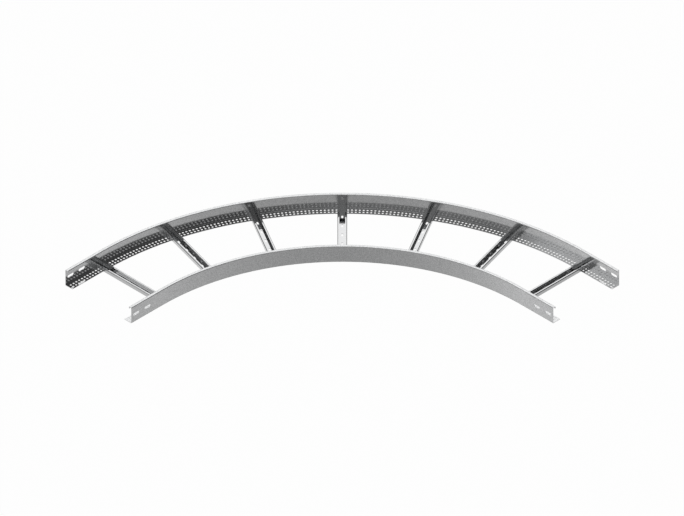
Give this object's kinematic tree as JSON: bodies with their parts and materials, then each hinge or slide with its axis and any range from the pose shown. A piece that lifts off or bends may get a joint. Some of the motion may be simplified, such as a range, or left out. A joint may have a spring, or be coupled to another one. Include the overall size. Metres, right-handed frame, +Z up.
{
  "type": "cable ladder bend",
  "caption": "Horizontal right-angle bend for a cable ladder: two curved side rails with perforated flanges joined by slotted C-profile rungs.",
  "frame": {"origin": "centre of the footprint's box, on the underside of the rails' flanges", "axes": "+Z up, out of the open side; the straight ends run along -X and -Y, and the bend's outside corner is towards +X +Y"},
  "size_m": [1.243, 1.243, 0.06],
  "materials": {
    "galvanised_sheet": "strip-galvanised steel sheet, fine dull grain",
    "galvanised_rung": "strip-galvanised steel profile, smooth"
  },
  "bodies": {
    "root": {"inner_side_rail": "galvanised_sheet", "outer_side_rail": "galvanised_sheet", "rung_1": "galvanised_rung", "rung_2": "galvanised_rung", "rung_3": "galvanised_rung", "rung_4": "galvanised_rung", "rung_5": "galvanised_rung", "rung_6": "galvanised_rung", "rung_7": "galvanised_rung"}
  },
  "joints": []
}
